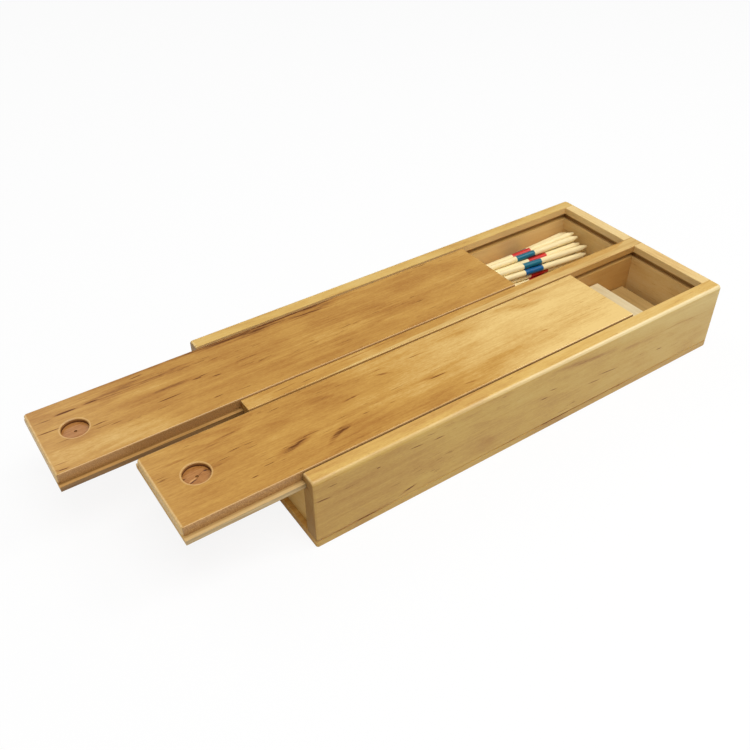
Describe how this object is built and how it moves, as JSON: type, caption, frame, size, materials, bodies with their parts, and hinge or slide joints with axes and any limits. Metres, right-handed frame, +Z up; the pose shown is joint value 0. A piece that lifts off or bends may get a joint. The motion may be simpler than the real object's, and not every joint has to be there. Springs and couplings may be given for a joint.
{
  "type": "sliding-lid games box",
  "caption": "Long wooden games box with side-by-side compartments under sliding lids drawn part open, holding pick-up sticks and plain tiles.",
  "frame": {"origin": "centre of the flat underside that the box stands on", "axes": "+X along the box from the open end, where the lids come out, to the closed end; +Y across from the tile compartment to the stick compartment; +Z up"},
  "size_m": [0.3348, 0.117, 0.0395],
  "materials": {
    "frame_pine": "sanded pine boards under a thin satin lacquer",
    "bottom_pine": "thin pine panel, lacquered with the box",
    "lid_pine": "amber flat-sawn pine under satin lacquer, with bare sawn rebates",
    "stick_wood": "turned birch left bare, with one painted band near each end",
    "tile_wood": "plain sanded hardwood with no markings",
    "band_rubber": "natural rubber band"
  },
  "bodies": {
    "box": {"bottom_panel": "bottom_pine", "divider": "frame_pine", "far_end_wall": "frame_pine", "far_front_wall": "frame_pine", "far_side_wall": "frame_pine", "lower_tile_01": "tile_wood", "lower_tile_02": "tile_wood", "lower_tile_03": "tile_wood", "lower_tile_04": "tile_wood", "lower_tile_05": "tile_wood", "lower_tile_06": "tile_wood", "lower_tile_07": "tile_wood", "lower_tile_08": "tile_wood", "lower_tile_09": "tile_wood", "lower_tile_10": "tile_wood", "near_end_wall": "frame_pine", "near_front_wall": "frame_pine", "near_side_wall": "frame_pine", "pick_up_stick_01": "stick_wood", "pick_up_stick_02": "stick_wood", "pick_up_stick_03": "stick_wood", "pick_up_stick_04": "stick_wood", "pick_up_stick_05": "stick_wood", "pick_up_stick_06": "stick_wood", "pick_up_stick_07": "stick_wood", "pick_up_stick_08": "stick_wood", "pick_up_stick_09": "stick_wood", "pick_up_stick_10": "stick_wood", "pick_up_stick_11": "stick_wood", "pick_up_stick_12": "stick_wood", "pick_up_stick_13": "stick_wood", "pick_up_stick_14": "stick_wood", "pick_up_stick_15": "stick_wood", "pick_up_stick_16": "stick_wood", "pick_up_stick_17": "stick_wood", "pick_up_stick_18": "stick_wood", "pick_up_stick_19": "stick_wood", "pick_up_stick_20": "stick_wood", "pick_up_stick_21": "stick_wood", "pick_up_stick_22": "stick_wood", "pick_up_stick_23": "stick_wood", "pick_up_stick_24": "stick_wood", "pick_up_stick_25": "stick_wood", "pick_up_stick_26": "stick_wood", "pick_up_stick_27": "stick_wood", "pick_up_stick_28": "stick_wood", "pick_up_stick_29": "stick_wood", "pick_up_stick_30": "stick_wood", "pick_up_stick_31": "stick_wood", "stick_band": "band_rubber", "upper_tile_01": "tile_wood", "upper_tile_02": "tile_wood", "upper_tile_03": "tile_wood", "upper_tile_04": "tile_wood", "upper_tile_05": "tile_wood", "upper_tile_06": "tile_wood", "upper_tile_07": "tile_wood", "upper_tile_08": "tile_wood"},
    "near_lid": {"near_lid": "lid_pine"},
    "far_lid": {"far_lid": "lid_pine"}
  },
  "joints": [
    {"name": "near_lid_slide", "type": "slide", "parent": "box", "child": "near_lid", "axis": [-1, 0, 0], "range_m": [-0.051, 0.2032]},
    {"name": "far_lid_slide", "type": "slide", "parent": "box", "child": "far_lid", "axis": [-1, 0, 0], "range_m": [-0.0814, 0.1728]}
  ]
}
